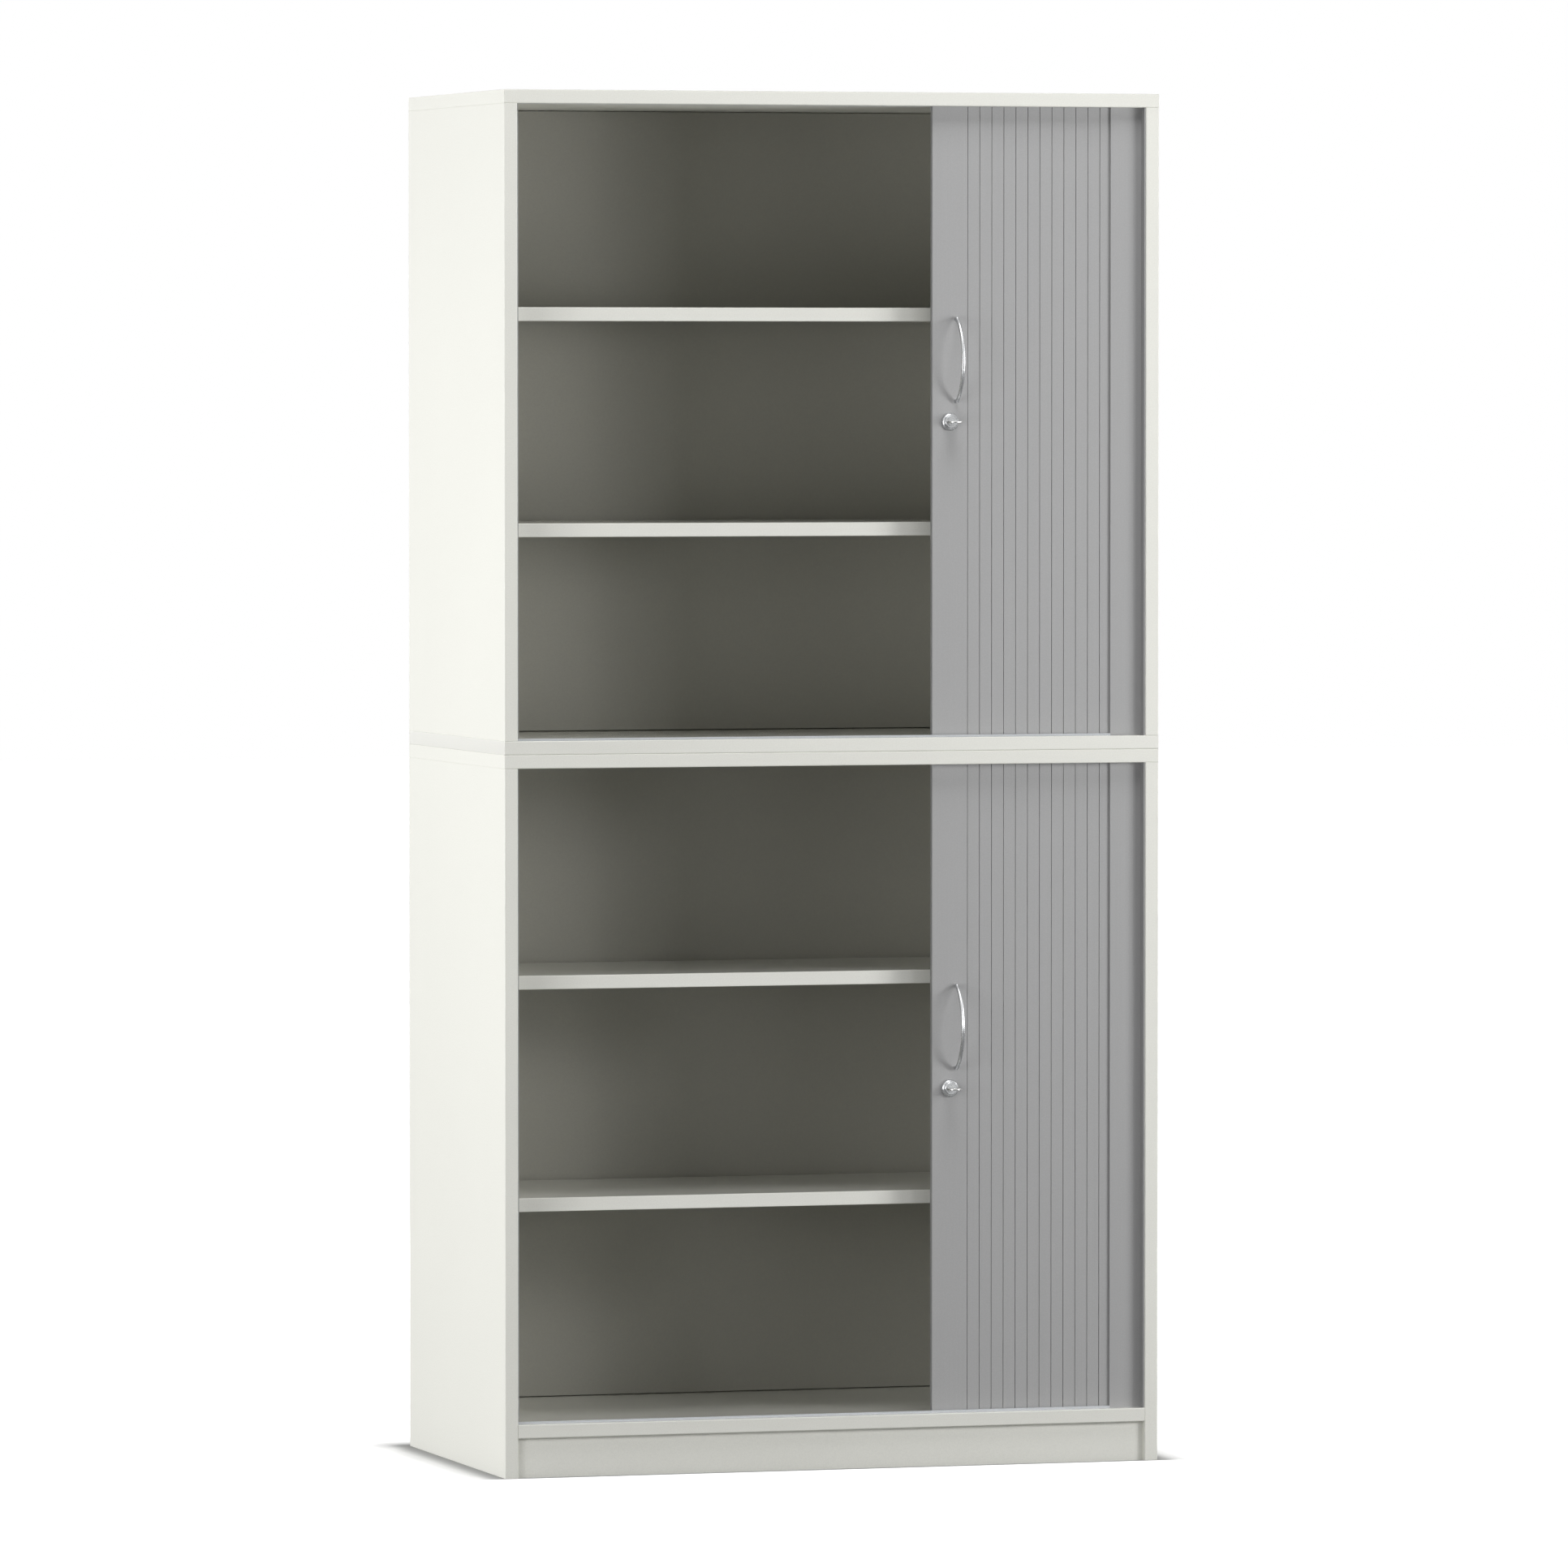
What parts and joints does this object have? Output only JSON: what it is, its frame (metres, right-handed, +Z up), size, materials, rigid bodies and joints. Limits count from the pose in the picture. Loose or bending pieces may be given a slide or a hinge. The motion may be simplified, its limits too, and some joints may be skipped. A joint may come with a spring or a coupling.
{
  "type": "tambour door cabinet",
  "caption": "Tall two-part storage cabinet whose slatted tambour doors slide sideways on curved tracks, with shelves, bow handles and turning locks.",
  "frame": {"origin": "on the floor, at the middle of the overall footprint", "axes": "+Z up, +X to the right seen from the front, -Y towards the user, so the doors face -Y"},
  "size_m": [1, 0.554, 2.016],
  "materials": {
    "laminate": "matt off-white laminate",
    "back_board": "matt light grey laminate",
    "curtain_plastic": "matt silver grey",
    "trim_plastic": "matt silver grey",
    "track_plastic": "matt light grey",
    "chrome": "polished",
    "nickel": "nickel plated",
    "steel": "zinc plated",
    "zinc": "die cast",
    "foot_plastic": "matt black",
    "beech": "raw"
  },
  "bodies": {
    "carcass": {"lower_top_panel": "laminate", "lower_bottom_panel": "laminate", "lower_left_side": "laminate", "lower_right_side": "laminate", "lower_partition": "laminate", "lower_low_shelf": "laminate", "lower_high_shelf": "laminate", "lower_outer_back": "back_board", "lower_inner_back": "back_board", "lower_bend_slats": "curtain_plastic", "lower_cover_strip": "trim_plastic", "lower_closing_strip": "trim_plastic", "lower_bottom_track": "track_plastic", "lower_top_track": "track_plastic", "upper_top_panel": "laminate", "upper_bottom_panel": "laminate", "upper_left_side": "laminate", "upper_right_side": "laminate", "upper_partition": "laminate", "upper_low_shelf": "laminate", "upper_high_shelf": "laminate", "upper_outer_back": "back_board", "upper_inner_back": "back_board", "upper_bend_slats": "curtain_plastic", "upper_cover_strip": "trim_plastic", "upper_closing_strip": "trim_plastic", "upper_bottom_track": "track_plastic", "upper_top_track": "track_plastic", "plinth": "laminate", "rear_plinth": "laminate", "levelling_feet": "foot_plastic", "dowels": "beech", "cam_fittings": "zinc", "shelf_pins": "steel", "unit_screws": "steel", "strikes": "steel"},
    "lower_door": {"lower_lead_slat": "curtain_plastic", "lower_front_slats": "curtain_plastic", "lower_handle": "chrome", "lower_handle_screws": "steel", "lower_lock_housing": "chrome", "lower_lock_nut": "steel"},
    "lower_lock": {"lower_lock_plug": "chrome", "lower_lock_cam": "steel", "lower_cam_screw": "steel"},
    "lower_key": {"lower_key": "nickel"},
    "lower_side_curtain": {"lower_side_slats": "curtain_plastic"},
    "lower_rear_curtain": {"lower_rear_slats": "curtain_plastic"},
    "upper_door": {"upper_lead_slat": "curtain_plastic", "upper_front_slats": "curtain_plastic", "upper_handle": "chrome", "upper_handle_screws": "steel", "upper_lock_housing": "chrome", "upper_lock_nut": "steel"},
    "upper_lock": {"upper_lock_plug": "chrome", "upper_lock_cam": "steel", "upper_cam_screw": "steel"},
    "upper_key": {"upper_key": "nickel"},
    "upper_side_curtain": {"upper_side_slats": "curtain_plastic"},
    "upper_rear_curtain": {"upper_rear_slats": "curtain_plastic"}
  },
  "joints": [
    {"name": "lower_door_slide", "type": "slide", "parent": "carcass", "child": "lower_door", "axis": [-1, 0, 0], "range_m": [0, 0.6307]},
    {"name": "lower_side_curtain_run", "type": "hinge", "parent": "carcass", "child": "lower_side_curtain", "pos_m": [0.11717, 0.11733, 0.555], "axis": [0, 0, -1], "range_deg": [0, 90], "deforming": ["lower_side_slats"]},
    {"name": "lower_rear_curtain_run", "type": "hinge", "parent": "carcass", "child": "lower_rear_curtain", "pos_m": [0.30741, 0.0015, 0.555], "axis": [0, 0, -1], "range_deg": [0, 180], "deforming": ["lower_rear_slats"]},
    {"name": "lower_key_turn", "type": "hinge", "parent": "lower_door", "child": "lower_lock", "pos_m": [0.18335, -0.238, 0.555], "axis": [0, -1, 0], "range_deg": [0, 90]},
    {"name": "lower_key_pull", "type": "slide", "parent": "lower_lock", "child": "lower_key", "axis": [0, -1, 0], "range_m": [0, 0.03]},
    {"name": "upper_door_slide", "type": "slide", "parent": "carcass", "child": "upper_door", "axis": [-1, 0, 0], "range_m": [0, 0.6307]},
    {"name": "upper_side_curtain_run", "type": "hinge", "parent": "carcass", "child": "upper_side_curtain", "pos_m": [0.11717, 0.11733, 1.534], "axis": [0, 0, -1], "range_deg": [0, 90], "deforming": ["upper_side_slats"]},
    {"name": "upper_rear_curtain_run", "type": "hinge", "parent": "carcass", "child": "upper_rear_curtain", "pos_m": [0.30741, 0.0015, 1.534], "axis": [0, 0, -1], "range_deg": [0, 180], "deforming": ["upper_rear_slats"]},
    {"name": "upper_key_turn", "type": "hinge", "parent": "upper_door", "child": "upper_lock", "pos_m": [0.18335, -0.238, 1.534], "axis": [0, -1, 0], "range_deg": [0, 90]},
    {"name": "upper_key_pull", "type": "slide", "parent": "upper_lock", "child": "upper_key", "axis": [0, -1, 0], "range_m": [0, 0.03]}
  ],
  "couplings": [
    {"joint": "lower_side_curtain_run", "follows": "lower_door_slide", "rad_per_m": 2.4905},
    {"joint": "lower_rear_curtain_run", "follows": "lower_door_slide", "rad_per_m": 4.9811},
    {"joint": "upper_side_curtain_run", "follows": "upper_door_slide", "rad_per_m": 2.4905},
    {"joint": "upper_rear_curtain_run", "follows": "upper_door_slide", "rad_per_m": 4.9811}
  ]
}
